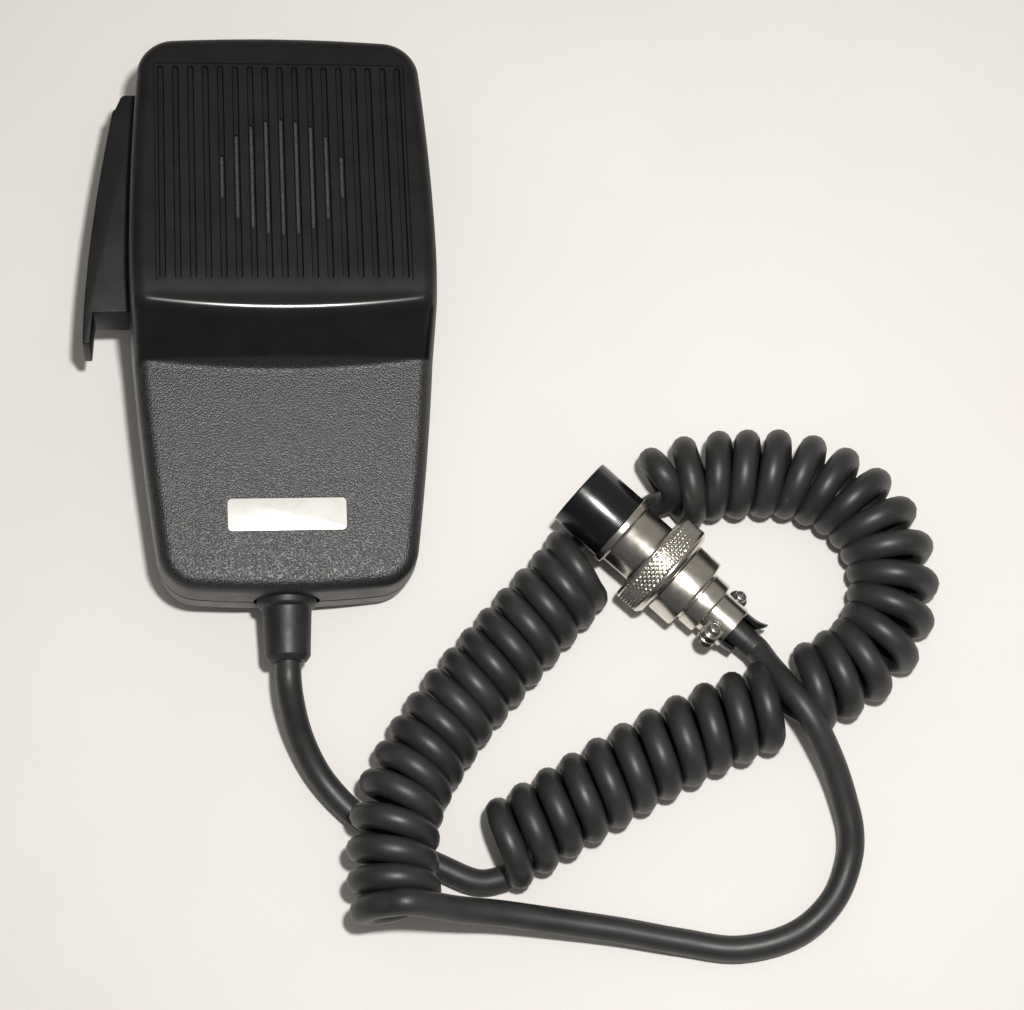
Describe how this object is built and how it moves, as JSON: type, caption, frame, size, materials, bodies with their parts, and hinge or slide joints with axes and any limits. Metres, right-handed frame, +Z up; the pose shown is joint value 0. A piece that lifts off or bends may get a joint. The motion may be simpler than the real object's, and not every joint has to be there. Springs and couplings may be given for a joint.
{
  "type": "hand microphone",
  "caption": "Hand microphone for a two-way radio: black two-shell case with ribbed grille, side press-to-talk lever, curly cord and four-pole locking plug.",
  "frame": {"origin": "on the surface the microphone lies on, under the middle of the case, lever and boot together", "axes": "+Z up from that surface; +Y along the case from the cord end to the grille end; +X to the right of the grille seen from the front. The case is rolled 10 degrees about Y, right side down."},
  "size_m": [0.1566, 0.1744, 0.0371],
  "materials": {
    "case_black": "satin, fine leather grain below the step",
    "lever_black": "satin",
    "label_silver": "matt silvered foil, blank",
    "screw_steel": "plated",
    "grille_cloth": "grey felt",
    "black_rubber": "satin",
    "capsule_metal": "satin",
    "diaphragm_film": "thin film",
    "copper": "enamelled winding",
    "contact_brass": "satin",
    "switch_black": "matt",
    "plunger_white": "matt",
    "button_metal": "bright plated",
    "cord_black": "satin",
    "tie_white": "natural nylon",
    "wire_red": "gloss",
    "wire_white": "gloss",
    "wire_black": "gloss",
    "insert_black": "high gloss",
    "bright_nickel": "bright nickel plate"
  },
  "bodies": {
    "microphone": {"front_shell": "case_black", "rear_shell": "case_black", "label_plate": "label_silver", "case_screws": "screw_steel", "grille_cloth": "grille_cloth", "capsule_gasket": "black_rubber", "capsule_cover": "capsule_metal", "capsule_diaphragm": "diaphragm_film", "voice_coil": "copper", "capsule_magnet": "capsule_metal", "capsule_housing": "capsule_metal", "capsule_terminals": "contact_brass", "lever_pivot_pin": "screw_steel", "lever_spring": "screw_steel", "switch_body": "switch_black", "switch_terminals": "contact_brass", "switch_screws": "screw_steel", "hang_button": "button_metal", "hang_button_screw": "screw_steel", "cord_boot": "black_rubber", "cord_case_end": "cord_black", "cord_tie": "tie_white", "wire_red": "wire_red", "wire_white": "wire_white", "wire_black": "wire_black", "plug_insert": "insert_black", "plug_contacts": "contact_brass", "plug_sleeve": "bright_nickel", "plug_rear_shell": "bright_nickel", "clamp_saddle": "bright_nickel", "clamp_strap": "bright_nickel", "clamp_screws": "screw_steel", "cord_plug_end": "cord_black", "cord_sleeve": "cord_black", "cord_lead": "cord_black", "cord_coil": "cord_black", "cord_crossing": "cord_black", "cord_coil_rear": "cord_black", "cord_tail": "cord_black"},
    "lever": {"ptt_lever": "lever_black"},
    "plunger": {"switch_plunger": "plunger_white"},
    "ring_slider": {"slip_washer": "contact_brass"},
    "ring": {"coupling_ring": "bright_nickel"}
  },
  "joints": [
    {"name": "ptt_press", "type": "hinge", "parent": "microphone", "child": "lever", "pos_m": [-0.019, 0.0474, 0.01798], "axis": [0.1736, 0, 0.9848], "range_deg": [0, 7], "stiffness_Nm_per_rad": 0.3, "springref_deg": -5.73, "deforming": ["lever_spring"]},
    {"name": "switch_travel", "type": "slide", "parent": "microphone", "child": "plunger", "axis": [0.9848, 0, -0.1736], "range_m": [0, 0.0037]},
    {"name": "ring_slide", "type": "slide", "parent": "microphone", "child": "ring_slider", "axis": [-0.7087, 0.6916, 0.1392], "range_m": [0, 0.003]},
    {"name": "ring_turn", "type": "hinge", "parent": "ring_slider", "child": "ring", "pos_m": [0.07274, -0.04447, 0.01086], "axis": [-0.7087, 0.6916, 0.1392], "continuous": true}
  ],
  "couplings": [
    {"joint": "switch_travel", "follows": "ptt_press", "m_per_rad": 0.0298}
  ]
}
